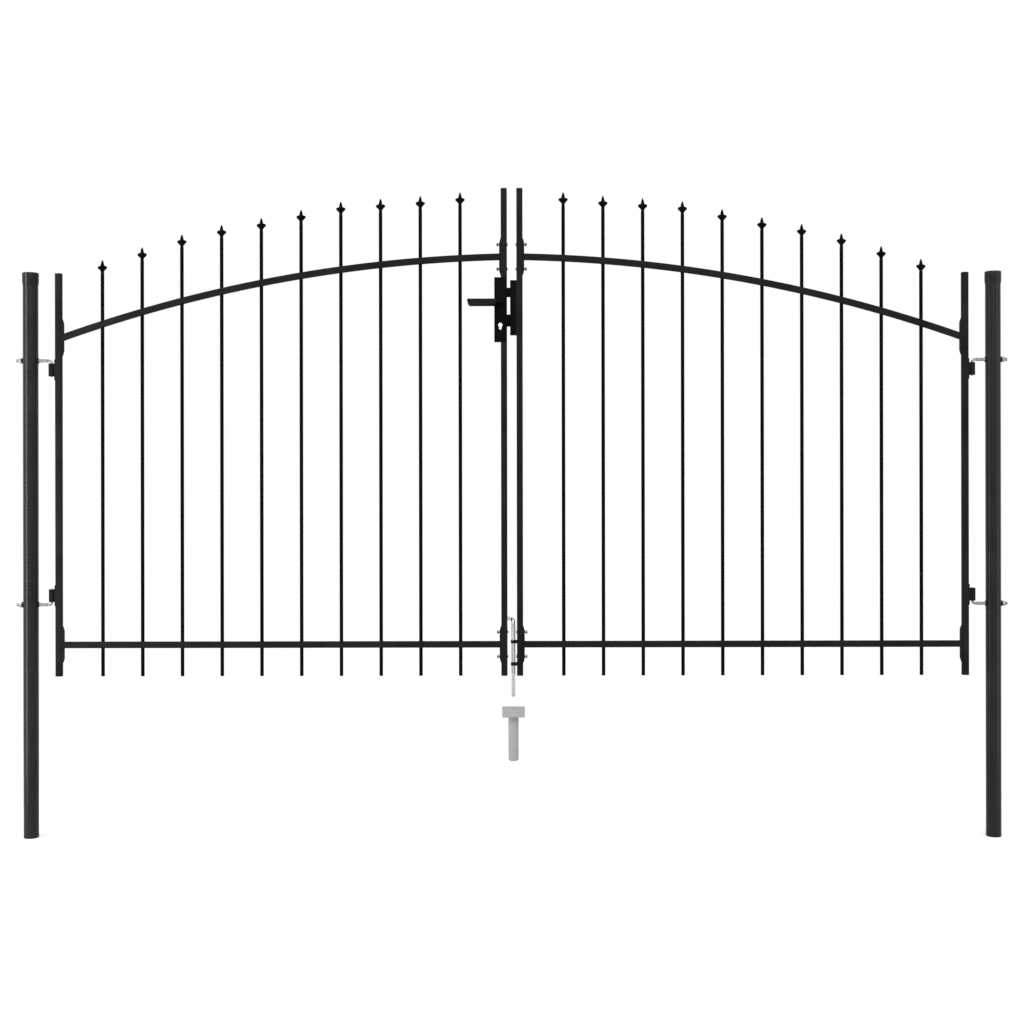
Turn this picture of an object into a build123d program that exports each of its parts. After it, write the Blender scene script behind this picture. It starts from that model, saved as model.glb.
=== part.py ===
# Double driveway gate: two arched leaves on two round posts, with a lever lock, a keep,
# a drop bolt and its ground socket. Sizes in mm. The origin is the middle of the left post's
# foot; x runs along the gate, y goes to the far side and z is up.
import math
import os

from build123d import *

os.makedirs("parts", exist_ok=True)

# Posts and their caps
overall_width = 3000
post_diameter = 46
post_wall = 1.5
post_height = 1730
cap_top = 4
cap_edge = 1.5
cap_wall = 1.7
cap_skirt = 32
cap_taper = 8
cap_clearance = 0.15

# Leaves
post_gap = 54
leaf_gap = 29
leaf_bottom = 494
meeting_stile_height = 1495
hinge_stile_height = 1236
tube_size = 19
tube_wall = 1.5
plug_head = 3
plug_depth = 12
plug_clearance = 0.1

# Rails and the plates at their ends
bottom_rail_rise = 96
top_rail_meeting_drop = 210
top_rail_hinge_drop = 196
top_rail_radius = 4300
plate_height = 112
plate_width = 18
plate_thickness = 5
plate_bevel = 14
plate_edge = 1

# Pickets and spear tips
picket_count = 10
picket_margin = 124.75
picket_diameter = 11
picket_sides = 6
picket_clearance = 0.15
picket_stand = 203
picket_stand_shares = (1.0, 0.985, 1.0, 1.03, 1.0, 0.985, 1.01, 1.01, 0.98, 0.97)
tip_height = 45
tip_spread = 29.2
tip_ear = 8
tip_core = 11
tip_core_shares = ((1.0, 0.0), (1.0, 0.62), (0.75, 0.8), (0.2, 1.0))
tip_ear_shares = ((0.0, 0.2), (0.5, 0.31), (1.0, 0.45), (0.85, 0.58), (0.0, 0.63))

# Hinges: eyes on the leaves, hook bolts through the posts
hinge_offset = 13
barrel_diameter = 18
barrel_length = 39
barrel_web = 9
upper_barrel_rise = 920.5
lower_barrel_rise = 228
hinge_plate_height = 64
hinge_plate_thickness = 2.5
hinge_plate_width = 16
hook_diameter = 8
hook_clearance = 0.1
hook_bend = 8
hook_drop = 0.4
hook_tail = 2
shank_diameter = 10
shank_reach = 29
shank_clearance = 0.2
bolt_end = 20
washer_size = 26
washer_face = 15
washer_stand = 3.5
washer_inner_stand = 1.5
washer_sink = 3
washer_clearance = 0.1
nut_size = 16
nut_thickness = 8

# Lock on the left leaf
lock_width = 39
lock_height = 197
lock_depth = 24
lock_wall = 2
lock_gap = 8
lock_backset = 20.5
lever_rise = 121.5
latch_rise = 151.7
dead_bolt_rise = 65.5
rose_diameter = 25
rose_thickness = 5
keyhole_rise = 52.6
keyhole_diameter = 17
keyhole_slot = 10
keyhole_height = 26
bolt_play = 0.5
latch_height = 28
latch_depth = 12
latch_length = 40
latch_bite = 9
latch_bevel = 8
latch_edge = 3
dead_bolt_height = 36
dead_bolt_depth = 12
dead_bolt_bite = 6
dead_bolt_nose = 15.5
dead_bolt_tail = 23.5
dead_bolt_tail_height = 18
spindle_size = 8
spindle_reach = 30
spindle_clearance = 0.1
spindle_hole = 12.4
lever_neck = 13
lever_gap = 0.5
neck_play = 0.4
lever_stand = 12
lever_length = 101
lever_heel = 9
lever_height = 14
lever_thickness = 11
lever_cut = 6
lever_round = 2

# Keep on the right leaf
keep_height = 167
keep_lift = 21
keep_reach = 19.5
keep_lap = 8.5
keep_wall = 2.5
keep_play = 0.8

# Drop bolt, its guides and the ground socket
drop_diameter = 12
drop_offset = 11
drop_length = 242
drop_tip_drop = 64
drop_tip_bevel = 2
drop_arm = 46
drop_arm_bend = 10
drop_arm_turn = 28
drop_clearance = 0.4
guide_height = 9.5
guide_wall = 1.6
guide_upper_rise = 104
guide_lower_rise = 35.5
ground_level = 394
socket_width = 70
socket_head = 24
socket_stem = 32
socket_length = 161
socket_bore = 17
socket_depth = 110
socket_round = 4

rod_sides = 12
overrun = 5

# Places that follow from the sizes
post_radius = post_diameter / 2
post_reach = overall_width / 2 - post_radius
gate_middle = post_reach
hinge_face = overall_width / 2 - post_diameter - post_gap
meeting_face = leaf_gap / 2
rail_start = meeting_face + tube_size + plate_thickness
rail_end = hinge_face - tube_size - plate_thickness
hinge_line = hinge_face + hinge_offset
half_tube = tube_size / 2
bottom_rail_level = leaf_bottom + bottom_rail_rise
start_level = leaf_bottom + meeting_stile_height - top_rail_meeting_drop
end_level = leaf_bottom + hinge_stile_height - top_rail_hinge_drop
picket_radius = picket_diameter / 2
first_picket = meeting_face + tube_size + picket_margin
last_picket = hinge_face - tube_size - picket_margin
picket_pitch = (last_picket - first_picket) / (picket_count - 1)
lock_top = start_level - plate_height / 2 - lock_gap
lock_bottom = lock_top - lock_height
lock_face = gate_middle - meeting_face
lock_axis = lock_face - lock_backset
half_lock = lock_depth / 2
keep_face = gate_middle + meeting_face - keep_reach
keep_bottom = lock_bottom + keep_lift
lever_level = lock_bottom + lever_rise
latch_level = lock_bottom + latch_rise
dead_bolt_level = lock_bottom + dead_bolt_rise
drop_axis = gate_middle + meeting_face - drop_offset
drop_radius = drop_diameter / 2
guide_levels = (leaf_bottom + guide_upper_rise, leaf_bottom + guide_lower_rise)

# The top rail's arc goes through the rail's two ends
chord_run = rail_end - rail_start
chord_fall = start_level - end_level
chord = math.hypot(chord_run, chord_fall)
arc_leg = math.sqrt(top_rail_radius**2 - chord**2 / 4)
arc_reach = (rail_start + rail_end) / 2 - arc_leg * chord_fall / chord
arc_level = (start_level + end_level) / 2 - arc_leg * chord_run / chord


def across(side, reach):
    return gate_middle + side * reach


def rail_level(reach):
    return arc_level + math.sqrt(top_rail_radius**2 - (reach - arc_reach) ** 2)


# Reach and tip level of each picket, from the meeting stile outwards
picket_reaches = [first_picket + picket_pitch * index for index in range(picket_count)]
picket_tips = [
    rail_level(reach) + picket_stand * share for reach, share in zip(picket_reaches, picket_stand_shares)
]

# Each barrel's lower and upper end, and the side that its hook comes in from
upper_barrel = leaf_bottom + upper_barrel_rise
lower_barrel = leaf_bottom + lower_barrel_rise
hinge_rows = (
    ("upper", upper_barrel, upper_barrel + barrel_length, 1),
    ("lower", lower_barrel, lower_barrel + barrel_length, -1),
)


def hook_level(low, high, up):
    end = high if up > 0 else low
    return end + up * (hook_drop + hook_bend)


def save(part, name):
    part.label = name
    export_step(part, f"parts/{name}.step")


def block(xs, ys, zs, mode=Mode.ADD):
    middle = [sum(pair) / 2 for pair in (xs, ys, zs)]
    size = [abs(pair[1] - pair[0]) for pair in (xs, ys, zs)]
    with Locations(tuple(middle)):
        Box(*size, mode=mode)


def rod_z(x, y, zs, radius, mode=Mode.ADD):
    with Locations((x, y, sum(zs) / 2)):
        Cylinder(radius, abs(zs[1] - zs[0]), mode=mode)


def rod_x(xs, y, z, radius, mode=Mode.ADD):
    with Locations((sum(xs) / 2, y, z)):
        Cylinder(radius, abs(xs[1] - xs[0]), rotation=(0, 90, 0), mode=mode)


def rod_y(x, ys, z, radius, mode=Mode.ADD):
    with Locations((x, sum(ys) / 2, z)):
        Cylinder(radius, abs(ys[1] - ys[0]), rotation=(90, 0, 0), mode=mode)


# A rod that turns a square corner with a bend
def bent_rod(start, corner, end, bend, radius):
    first = (corner - start).normalized()
    second = (end - corner).normalized()
    centre = corner - first * bend + second * bend
    middle = centre + (first - second).normalized() * bend
    with BuildLine() as path:
        Line(start, corner - first * bend)
        ThreePointArc(corner - first * bend, middle, corner + second * bend)
        Line(corner + second * bend, end)
    with BuildSketch(Plane(start, z_dir=first)) as section:
        RegularPolygon(radius, rod_sides)
    sweep(section.sketch, path=path.wire())


# A square tube standing between two levels
def upright(x, zs):
    inner = half_tube - tube_wall
    block((x - half_tube, x + half_tube), (-half_tube, half_tube), zs)
    block((x - inner, x + inner), (-inner, inner), zs, Mode.SUBTRACT)


# Holes that the pickets go through
def picket_holes(side, low, high):
    with BuildSketch(Plane.XY.offset(low)) as holes:
        with Locations([(across(side, reach), 0) for reach in picket_reaches]):
            RegularPolygon(picket_radius + picket_clearance, picket_sides, major_radius=False)
    extrude(holes.sketch, amount=high - low, mode=Mode.SUBTRACT)


def make_post(side, word):
    x = across(side, post_reach)
    through = post_radius + overrun
    with BuildPart() as post:
        rod_z(x, 0, (0, post_height), post_radius)
        rod_z(x, 0, (0, post_height), post_radius - post_wall, Mode.SUBTRACT)
        for row, low, high, up in hinge_rows:
            hole = shank_diameter / 2 + shank_clearance
            rod_x((x - through, x + through), 0, hook_level(low, high, up), hole, Mode.SUBTRACT)
    save(post.part, f"{word}_post")

    bore = post_radius + cap_clearance
    outer = bore + cap_wall
    crown = post_height + cap_top
    skirt = crown - cap_skirt
    hem = skirt - cap_taper
    with BuildPart() as cap:
        with BuildSketch(Plane((x, 0, 0), x_dir=(1, 0, 0), z_dir=(0, -1, 0))):
            with BuildLine():
                Polyline(
                    (0, post_height),
                    (bore, post_height),
                    (bore, hem),
                    (outer, skirt),
                    (outer, crown - cap_edge),
                    (outer - cap_edge, crown),
                    (0, crown),
                    close=True,
                )
            make_face()
        revolve(axis=Axis((x, 0, 0), (0, 0, 1)))
    save(cap.part, f"{word}_post_cap")


def make_hinge_bolts(side, word):
    axis = across(side, post_reach)
    pin = across(side, hinge_line)
    outer_end = across(side, overall_width / 2 + bolt_end)
    step = across(side, overall_width / 2 - post_diameter - shank_reach)
    levels = [hook_level(low, high, up) for row, low, high, up in hinge_rows]
    for row, low, high, up in hinge_rows:
        level = hook_level(low, high, up)
        tail = low - hook_tail if up > 0 else high + hook_tail
        with BuildPart() as bolt:
            rod_x((outer_end, step), 0, level, shank_diameter / 2)
            bent_rod(
                Vector(step, 0, level),
                Vector(pin, 0, level),
                Vector(pin, 0, tail),
                hook_bend,
                hook_diameter / 2,
            )
            rod_z(pin, 0, (level - up * hook_bend, tail), hook_diameter / 2)
        save(bolt.part, f"{word}_{row}_hinge_bolt")

    with BuildPart() as washers:
        for level in levels:
            for way, stand in ((side, washer_stand), (-side, washer_inner_stand)):
                inside = axis + way * (post_radius - washer_sink)
                outside = axis + way * (post_radius + stand)
                with Locations(((inside + outside) / 2, 0, level)):
                    Cone(washer_size / 2, washer_face / 2, washer_sink + stand, rotation=(0, way * 90, 0))
                rod_x((inside, outside), 0, level, shank_diameter / 2 + shank_clearance, Mode.SUBTRACT)
        rod_z(axis, 0, (0, post_height), post_radius + washer_clearance, Mode.SUBTRACT)
    save(washers.part, f"{word}_hinge_washers")

    seat = axis + side * (post_radius + washer_stand)
    with BuildPart() as nuts:
        for level in levels:
            with BuildSketch(Plane((seat, 0, level), x_dir=(0, 1, 0), z_dir=(side, 0, 0))):
                RegularPolygon(nut_size / 2, 6, major_radius=False)
                Circle(shank_diameter / 2 + shank_clearance, mode=Mode.SUBTRACT)
            extrude(amount=nut_thickness)
    save(nuts.part, f"{word}_hinge_nuts")


def make_stiles(side, word):
    hinge_axis = across(side, hinge_face - half_tube)
    meeting_axis = across(side, meeting_face + half_tube)
    foot = leaf_bottom + plug_head
    hinge_top = leaf_bottom + hinge_stile_height - plug_head
    meeting_top = leaf_bottom + meeting_stile_height - plug_head
    with BuildPart() as hinge_stile:
        upright(hinge_axis, (foot, hinge_top))
    save(hinge_stile.part, f"{word}_hinge_stile")

    with BuildPart() as meeting_stile:
        if side < 0:
            upright(meeting_axis, (foot, lock_bottom))
            upright(meeting_axis, (lock_top, meeting_top))
        else:
            upright(meeting_axis, (foot, meeting_top))
    save(meeting_stile.part, f"{word}_lock_stile" if side < 0 else f"{word}_meeting_stile")

    insert = half_tube - tube_wall - plug_clearance
    with BuildPart() as plugs:
        for x, top in ((hinge_axis, hinge_top), (meeting_axis, meeting_top)):
            for level, up in ((foot, -1), (top, 1)):
                head = (level, level + up * plug_head)
                stem = (level, level - up * plug_depth)
                block((x - half_tube, x + half_tube), (-half_tube, half_tube), head)
                block((x - insert, x + insert), (-insert, insert), stem)
    save(plugs.part, f"{word}_stile_plugs")


def make_rails(side, word):
    spread = (across(side, rail_start), across(side, rail_end))
    inner = half_tube - tube_wall
    crown = arc_level + top_rail_radius
    with BuildPart() as top_rail:
        for size, mode in ((half_tube, Mode.ADD), (inner, Mode.SUBTRACT)):
            with BuildSketch(Plane.XZ):
                with Locations((across(side, arc_reach), arc_level)):
                    Circle(top_rail_radius + size)
                    Circle(top_rail_radius - size, mode=Mode.SUBTRACT)
                with Locations((sum(spread) / 2, crown)):
                    Rectangle(rail_end - rail_start, top_rail_radius, mode=Mode.INTERSECT)
            extrude(amount=size, both=True, mode=mode)
        picket_holes(side, bottom_rail_level, crown + tube_size)
    save(top_rail.part, f"{word}_top_rail")

    with BuildPart() as bottom_rail:
        level = bottom_rail_level
        block(spread, (-half_tube, half_tube), (level - half_tube, level + half_tube))
        block(spread, (-inner, inner), (level - inner, level + inner), Mode.SUBTRACT)
        picket_holes(side, level - tube_size, level + tube_size)
    save(bottom_rail.part, f"{word}_bottom_rail")

    meeting_side = across(side, meeting_face + tube_size)
    hinge_side = across(side, hinge_face - tube_size)
    half_height = plate_height / 2
    with BuildPart() as plates:
        for x, way, top in ((meeting_side, side, start_level), (hinge_side, -side, end_level)):
            for middle in (top, bottom_rail_level):
                edge = x + way * plate_edge
                face = x + way * plate_thickness
                low = middle - half_height
                high = middle + half_height
                with BuildSketch(Plane.XZ):
                    with BuildLine():
                        Polyline(
                            (x, low),
                            (edge, low),
                            (face, low + plate_bevel),
                            (face, high - plate_bevel),
                            (edge, high),
                            (x, high),
                            close=True,
                        )
                    make_face()
                extrude(amount=plate_width / 2, both=True)
    save(plates.part, f"{word}_end_plates")


def make_pickets(side, word, tip):
    with BuildPart() as pickets:
        for reach, top in zip(picket_reaches, picket_tips):
            x = across(side, reach)
            with BuildSketch(Plane((x, 0, leaf_bottom))):
                RegularPolygon(picket_radius, picket_sides, major_radius=False)
            extrude(amount=top - tip_height - leaf_bottom)
    save(pickets.part, f"{word}_pickets")

    with BuildPart() as tips:
        for reach, top in zip(picket_reaches, picket_tips):
            add(tip.moved(Location((across(side, reach), 0, top - tip_height))))
    save(tips.part, f"{word}_spear_tips")


def make_hinge_eyes(side, word):
    face = across(side, hinge_face)
    plate_face = across(side, hinge_face + hinge_plate_thickness)
    axis = across(side, hinge_line)
    with BuildPart() as eyes:
        for row, low, high, up in hinge_rows:
            middle = (low + high) / 2
            reach = hinge_plate_height / 2
            half_width = hinge_plate_width / 2
            half_web = barrel_web / 2
            block((face, plate_face), (-half_width, half_width), (middle - reach, middle + reach))
            block((face, axis), (-half_web, half_web), (low, high))
            rod_z(axis, 0, (low, high), barrel_diameter / 2)
            rod_z(axis, 0, (low, high), hook_diameter / 2 + hook_clearance, Mode.SUBTRACT)
    save(eyes.part, f"{word}_hinge_eyes")


# A spear tip: two crossed ears on a point with the picket's sides
def make_tip():
    half_spread = tip_spread / 2
    outline = [(share * half_spread, level * tip_height) for share, level in tip_ear_shares]
    with BuildPart() as ear:
        with BuildSketch(Plane.XZ):
            with BuildLine():
                Polyline(*outline, close=True)
            make_face()
            mirror(about=Plane.YZ)
        extrude(amount=tip_ear / 2, both=True)
    with BuildPart() as tip:
        for share, level in tip_core_shares:
            with BuildSketch(Plane.XY.offset(level * tip_height)):
                RegularPolygon(share * tip_core / 2, picket_sides, major_radius=False)
        loft(ruled=True)
        add(ear.part)
        add(ear.part.rotate(Axis.Z, 90))
    return tip.part


def make_lock():
    back = lock_face - lock_width
    faces = (-half_lock - rose_thickness, half_lock + rose_thickness)
    through = (faces[0] - overrun, faces[1] + overrun)
    key_level = lock_bottom + keyhole_rise
    slot_end = key_level + keyhole_diameter / 2 - keyhole_height + keyhole_slot / 2
    half_slot = keyhole_slot / 2
    with BuildPart() as case:
        block((back, lock_face), (-half_lock, half_lock), (lock_bottom, lock_top))
        block(
            (back + lock_wall, lock_face - lock_wall),
            (-half_lock + lock_wall, half_lock - lock_wall),
            (lock_bottom + lock_wall, lock_top - lock_wall),
            Mode.SUBTRACT,
        )
        for way in (-1, 1):
            face = way * half_lock
            rod_y(lock_axis, (face, face + way * rose_thickness), lever_level, rose_diameter / 2)
            bore = lever_neck / 2 + neck_play
            rod_y(lock_axis, (face, face + way * rose_thickness), lever_level, bore, Mode.SUBTRACT)
        rod_y(lock_axis, through, lever_level, spindle_hole / 2, Mode.SUBTRACT)
        rod_y(lock_axis, through, key_level, keyhole_diameter / 2, Mode.SUBTRACT)
        block((lock_axis - half_slot, lock_axis + half_slot), through, (slot_end, key_level), Mode.SUBTRACT)
        rod_y(lock_axis, through, slot_end, half_slot, Mode.SUBTRACT)
        gate = (lock_face - lock_wall - bolt_play, lock_face + overrun)
        for level, height, depth in (
            (latch_level, latch_height, latch_depth),
            (dead_bolt_level, dead_bolt_height, dead_bolt_depth),
        ):
            tall = height / 2 + bolt_play
            deep = depth / 2 + bolt_play
            block(gate, (-deep, deep), (level - tall, level + tall), Mode.SUBTRACT)
    save(case.part, "lock_case")

    latch_tip = keep_face + latch_bite
    latch_rear = latch_tip - latch_length
    half_latch = latch_depth / 2
    with BuildPart() as latch:
        with BuildSketch(Plane.XY.offset(latch_level - latch_height / 2)):
            with BuildLine():
                Polyline(
                    (latch_rear, half_latch),
                    (latch_tip - latch_bevel, half_latch),
                    (latch_tip, latch_edge - half_latch),
                    (latch_tip, -half_latch),
                    (latch_rear, -half_latch),
                    close=True,
                )
            make_face()
        extrude(amount=latch_height)
    save(latch.part, "latch_bolt")

    bolt_tip = keep_face + dead_bolt_bite
    nose_rear = bolt_tip - dead_bolt_nose
    half_bolt = dead_bolt_depth / 2
    bolt_low = dead_bolt_level - dead_bolt_height / 2
    bolt_high = dead_bolt_level + dead_bolt_height / 2
    with BuildPart() as dead_bolt:
        block((nose_rear, bolt_tip), (-half_bolt, half_bolt), (bolt_low, bolt_high))
        tail = (nose_rear - dead_bolt_tail, nose_rear)
        block(tail, (-half_bolt, half_bolt), (bolt_high - dead_bolt_tail_height, bolt_high))
    save(dead_bolt.part, "dead_bolt")


def make_levers():
    half_spindle = spindle_size / 2
    with BuildPart() as spindle:
        block(
            (lock_axis - half_spindle, lock_axis + half_spindle),
            (-spindle_reach, spindle_reach),
            (lever_level - half_spindle, lever_level + half_spindle),
        )
    save(spindle.part, "lever_spindle")

    heel = lock_axis + lever_heel
    toe = lock_axis - lever_length
    top = lever_level + lever_height / 2
    low = lever_level - lever_height / 2
    socket = half_spindle + spindle_clearance
    for word, way in (("front", -1), ("rear", 1)):
        neck_start = way * (half_lock + lever_gap)
        grip_start = way * (half_lock + lever_stand)
        grip_end = grip_start + way * lever_thickness
        socket_end = way * (spindle_reach + spindle_clearance)
        with BuildPart() as lever:
            with BuildSketch(Plane((0, grip_start, 0), x_dir=(1, 0, 0), z_dir=(0, -1, 0))):
                with BuildLine():
                    Polyline(
                        (heel, low),
                        (heel, top),
                        (toe, top),
                        (toe, low + lever_cut),
                        (toe + lever_cut, low),
                        close=True,
                    )
                make_face()
            extrude(amount=-way * lever_thickness)
            chamfer(lever.edges(), lever_round)
            rod_y(lock_axis, (neck_start, (grip_start + grip_end) / 2), lever_level, lever_neck / 2)
            block(
                (lock_axis - socket, lock_axis + socket),
                (neck_start, socket_end),
                (lever_level - socket, lever_level + socket),
                Mode.SUBTRACT,
            )
        save(lever.part, f"{word}_lever")


def make_keep():
    stile = gate_middle + meeting_face
    outer = half_tube + keep_wall
    keep_top = keep_bottom + keep_height
    web = (keep_face - overrun, keep_face + keep_wall + overrun)
    with BuildPart() as keep:
        block((keep_face, stile + keep_lap), (-outer, outer), (keep_bottom, keep_top))
        inside = (keep_face + keep_wall, stile + keep_lap)
        block(inside, (-half_tube, half_tube), (keep_bottom, keep_top), Mode.SUBTRACT)
        for level, height in ((latch_level, latch_height), (dead_bolt_level, dead_bolt_height)):
            tall = height / 2 + keep_play
            block(web, (-half_tube, half_tube), (level - tall, level + tall), Mode.SUBTRACT)
    save(keep.part, "strike_keep")


def make_drop_bolt():
    stile = gate_middle + meeting_face
    hole = drop_radius + drop_clearance
    ring = hole + guide_wall
    half_guide = guide_height / 2
    with BuildPart() as guides:
        for level in guide_levels:
            zs = (level - half_guide, level + half_guide)
            block((drop_axis, stile), (-ring, ring), zs)
            rod_z(drop_axis, 0, zs, ring)
            rod_z(drop_axis, 0, zs, hole, Mode.SUBTRACT)
    save(guides.part, "drop_bolt_guides")

    tip = leaf_bottom - drop_tip_drop
    arm_level = tip + drop_length - drop_radius
    turn = math.radians(drop_arm_turn)
    with BuildPart() as drop_bolt:
        bent_rod(
            Vector(drop_axis, 0, tip),
            Vector(drop_axis, 0, arm_level),
            Vector(drop_axis - drop_arm * math.sin(turn), drop_arm * math.cos(turn), arm_level),
            drop_arm_bend,
            drop_radius,
        )
        rod_z(drop_axis, 0, (tip, arm_level - drop_arm_bend), drop_radius)
        chamfer(drop_bolt.faces().sort_by(Axis.Z)[0].edges(), drop_tip_bevel)
    save(drop_bolt.part, "drop_bolt")

    half_head = socket_width / 2
    head_low = ground_level - socket_head
    with BuildPart() as socket:
        xs = (drop_axis - half_head, drop_axis + half_head)
        block(xs, (-half_head, half_head), (head_low, ground_level))
        fillet(socket.edges().filter_by(Axis.Z), socket_round)
        rod_z(drop_axis, 0, (ground_level - socket_length, head_low), socket_stem / 2)
        rod_z(drop_axis, 0, (ground_level - socket_depth, ground_level), socket_bore / 2, Mode.SUBTRACT)
    save(socket.part, "ground_socket")


spear_tip = make_tip()
for word, side in (("left", -1), ("right", 1)):
    make_post(side, word)
    make_hinge_bolts(side, word)
    make_stiles(side, word)
    make_rails(side, word)
    make_pickets(side, word, spear_tip)
    make_hinge_eyes(side, word)
make_lock()
make_levers()
make_keep()
make_drop_bolt()
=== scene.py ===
import math
import bmesh
import bpy
from mathutils import Matrix, Vector


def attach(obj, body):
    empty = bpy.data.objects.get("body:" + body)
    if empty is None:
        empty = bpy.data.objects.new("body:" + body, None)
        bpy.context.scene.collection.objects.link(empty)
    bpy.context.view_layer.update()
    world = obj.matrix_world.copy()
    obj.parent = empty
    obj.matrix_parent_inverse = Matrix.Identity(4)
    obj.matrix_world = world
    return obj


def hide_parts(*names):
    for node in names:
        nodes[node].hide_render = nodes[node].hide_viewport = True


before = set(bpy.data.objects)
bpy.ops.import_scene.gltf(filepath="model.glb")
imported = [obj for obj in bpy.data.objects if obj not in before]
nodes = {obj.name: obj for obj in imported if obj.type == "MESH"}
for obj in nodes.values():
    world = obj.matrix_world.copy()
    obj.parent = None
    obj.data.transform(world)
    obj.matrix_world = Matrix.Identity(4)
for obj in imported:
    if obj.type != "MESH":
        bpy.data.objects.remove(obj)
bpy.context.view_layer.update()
scene = bpy.context.scene
mm = 0.001  # the pieces' sizes below are in millimetres, the stage's in metres
fullTurn, quarterTurn = 2 * math.pi, math.pi / 2
print("frame loaded,", len(nodes), "nodes")


# nodes of materials and trees; an input takes a link or a plain value
def setInputs(tree, node, inputs):
    for key, value in inputs.items():
        if hasattr(value, "is_output"):
            tree.links.new(value, node.inputs[key])
        else:
            node.inputs[key].default_value = value


def addNode(tree, kind, inputs=None, **settings):
    node = tree.nodes.new(kind)
    for key, value in settings.items():
        setattr(node, key, value)
    setInputs(tree, node, inputs or {})
    return node


# finishes
def newFinish(name):
    finish = bpy.data.materials.new(name)
    finish.use_nodes = True
    tree = finish.node_tree
    place = addNode(tree, "ShaderNodeTexCoord").outputs["Object"]
    return finish, tree, tree.nodes["Principled BSDF"], place


def noiseOf(tree, place, scale, detail=2.0):
    noise = addNode(tree, "ShaderNodeTexNoise", {"Vector": place, "Scale": scale, "Detail": detail})
    return noise.outputs[0]


def rampOf(tree, factor, stops):
    ramp = addNode(tree, "ShaderNodeValToRGB", {"Fac": factor})
    elements = ramp.color_ramp.elements
    elements[0].position, elements[0].color = stops[0][0], (*stops[0][1], 1)
    elements[1].position, elements[1].color = stops[-1][0], (*stops[-1][1], 1)
    for position, colour in stops[1:-1]:
        elements.new(position).color = (*colour, 1)
    return ramp.outputs["Color"]


def rangeOf(tree, value, low, high):
    mapped = addNode(tree, "ShaderNodeMapRange", {"Value": value, "To Min": low, "To Max": high})
    return mapped.outputs["Result"]


def bumpOf(tree, height, strength, distance):
    bump = addNode(tree, "ShaderNodeBump", {"Height": height, "Strength": strength, "Distance": distance})
    return bump.outputs["Normal"]


def mathOf(tree, operation, first, second):
    return addNode(tree, "ShaderNodeMath", {0: first, 1: second}, operation=operation).outputs[0]


# black coat or moulding: slow tone drift, fine orange peel in roughness and bump
blackSkin = {"drift": 9.0, "detail": 3.0, "smoother": 0.03, "rougher": 0.04, "deep": 0.0004}
blackSkin["shades"] = [(0.3, (0.7, 0.7, 0.72)), (0.7, (1.3, 1.3, 1.34))]  # shares of the tone


def shadesOf(tone, shades):
    return [(spot, [tone * share for share in shade]) for spot, shade in shades]


def blackFinish(name, tone, rough, gloss, grain, peel):
    finish, tree, shader, place = newFinish(name)
    drift = noiseOf(tree, place, blackSkin["drift"], blackSkin["detail"])
    skin = noiseOf(tree, place, grain)
    setInputs(tree, shader, {
        "Base Color": rampOf(tree, drift, shadesOf(tone, blackSkin["shades"])),
        "Roughness": rangeOf(tree, skin, rough - blackSkin["smoother"], rough + blackSkin["rougher"]),
        "Normal": bumpOf(tree, skin, peel, blackSkin["deep"]),
        "Specular IOR Level": gloss,
    })
    return finish


postCoat = blackFinish("postCoat", tone=0.009, rough=0.27, gloss=0.18, grain=620, peel=0.02)
tubeCoat = blackFinish("tubeCoat", tone=0.011, rough=0.68, gloss=0.05, grain=620, peel=0.08)
barCoat = blackFinish("barCoat", tone=0.003, rough=0.7, gloss=0.02, grain=500, peel=0.02)
# the lock's own dark coat, also used as painted shade on the lever heel and on the keep's part in the gap
lockCoat = blackFinish("lockCoat", tone=0.002, rough=0.55, gloss=0.03, grain=900, peel=0.1)
capMoulding = blackFinish("capMoulding", tone=0.008, rough=0.28, gloss=0.18, grain=1500, peel=0.015)
blackMoulding = blackFinish("blackMoulding", tone=0.011, rough=0.62, gloss=0.05, grain=1500, peel=0.06)

# zinc plating: patchy crystals, a faint blue and straw tint, drawn lines
zincSkin = {"patch": 160.0, "detail": 4.0, "smoother": 0.07, "rougher": 0.1}
zincSkin |= {"lines": (60.0, 2200.0, 60.0), "bump": 0.03, "deep": 0.0002}
zincSkin["shades"] = [(0.3, (0.84, 0.85, 0.89)), (0.5, (1.0, 1.01, 1.02)), (0.72, (1.1, 1.09, 1.05))]


def zincFinish(name, tone, rough):
    finish, tree, shader, place = newFinish(name)
    patch = noiseOf(tree, place, zincSkin["patch"], zincSkin["detail"])
    drawn = addNode(tree, "ShaderNodeMapping", {"Vector": place, "Scale": zincSkin["lines"]})
    lines = noiseOf(tree, drawn.outputs["Vector"], 1.0)
    setInputs(tree, shader, {
        "Base Color": rampOf(tree, patch, shadesOf(tone, zincSkin["shades"])),
        "Roughness": rangeOf(tree, patch, rough - zincSkin["smoother"], rough + zincSkin["rougher"]),
        "Normal": bumpOf(tree, lines, zincSkin["bump"], zincSkin["deep"]),
        "Metallic": 1.0,
    })
    return finish


brightZinc = zincFinish("brightZinc", tone=0.5, rough=0.16)
zincPlate = zincFinish("zincPlate", tone=0.26, rough=0.36)
dullZinc = zincFinish("dullZinc", tone=0.13, rough=0.38)

# grey moulded plastic with a faint flow mottle
greySkin = {"flow": 22.0, "detail": 4.0, "grain": 1300.0, "rough": (0.5, 0.66)}
greySkin |= {"bump": 0.1, "deep": 0.0003, "gloss": 0.3}
greySkin["shades"] = [(0.3, (0.37, 0.37, 0.37)), (0.7, (0.41, 0.41, 0.408))]


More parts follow.
